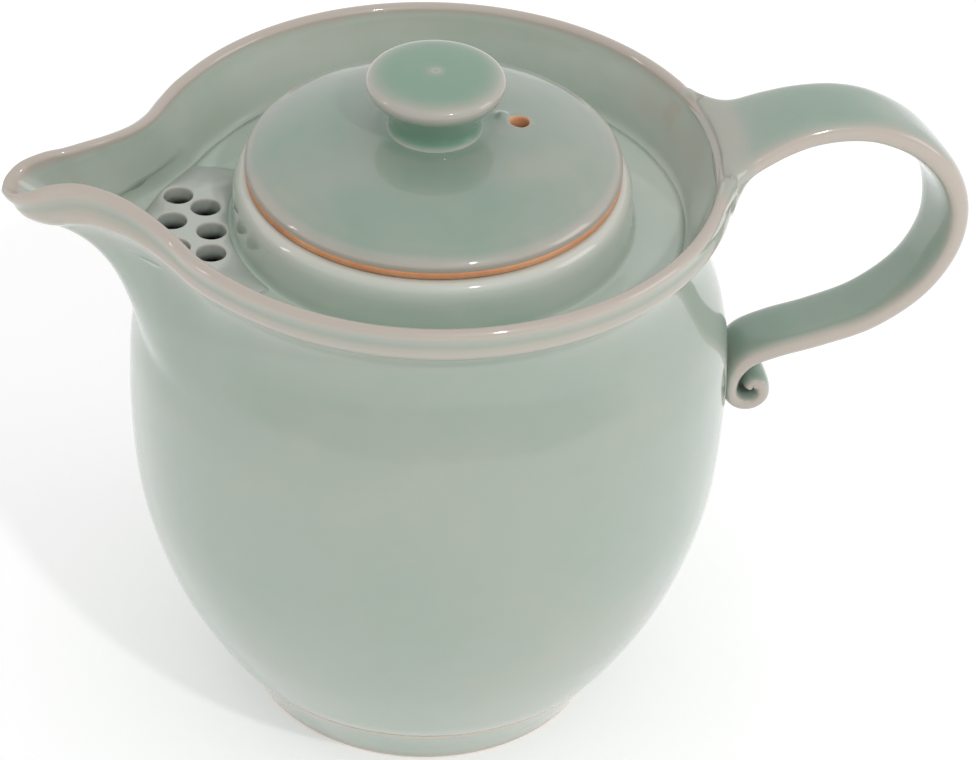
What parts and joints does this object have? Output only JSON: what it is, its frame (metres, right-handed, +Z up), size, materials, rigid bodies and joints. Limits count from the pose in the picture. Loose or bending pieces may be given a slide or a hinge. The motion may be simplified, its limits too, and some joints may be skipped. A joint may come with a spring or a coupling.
{
  "type": "teapot",
  "caption": "Lidded teapot with a rounded body, pulled spout, pierced strainer in a sunken trough, strap handle with a curled tail, and a lift-off domed lid with a knob.",
  "frame": {"origin": "centre of the foot ring, on the plane it stands on", "axes": "+Z up, the spout points along -X and the handle along +X"},
  "size_m": [0.1557, 0.0976, 0.1174],
  "materials": {
    "body_glaze": "glossy celadon glaze",
    "foot_clay": "glossy celadon glaze, bare clay on the resting edge",
    "trough_glaze": "glossy celadon glaze, pooled",
    "strainer_glaze": "glossy celadon glaze, pooled",
    "spout_glaze": "glossy celadon glaze, thin on the edges",
    "handle_glaze": "glossy celadon glaze, thin on the edges",
    "curl_glaze": "glossy celadon glaze, thin on the edges",
    "bare_clay": "unglazed orange clay",
    "flange_clay": "unglazed clay",
    "lid_glaze": "glossy celadon glaze",
    "knob_glaze": "glossy celadon glaze, pooled on top"
  },
  "bodies": {
    "pot": {"pot_body": "body_glaze", "foot_ring": "foot_clay", "gallery": "trough_glaze", "strainer": "strainer_glaze", "spout": "spout_glaze", "handle": "handle_glaze", "handle_curl": "curl_glaze"},
    "lid": {"lid_edge": "bare_clay", "lid_flange": "flange_clay", "lid_dome": "lid_glaze", "lid_knob": "knob_glaze"}
  },
  "joints": [
    {"name": "lid_lift", "type": "slide", "parent": "pot", "child": "lid", "axis": [0, 0, 1], "range_m": [0, 0.04]}
  ]
}
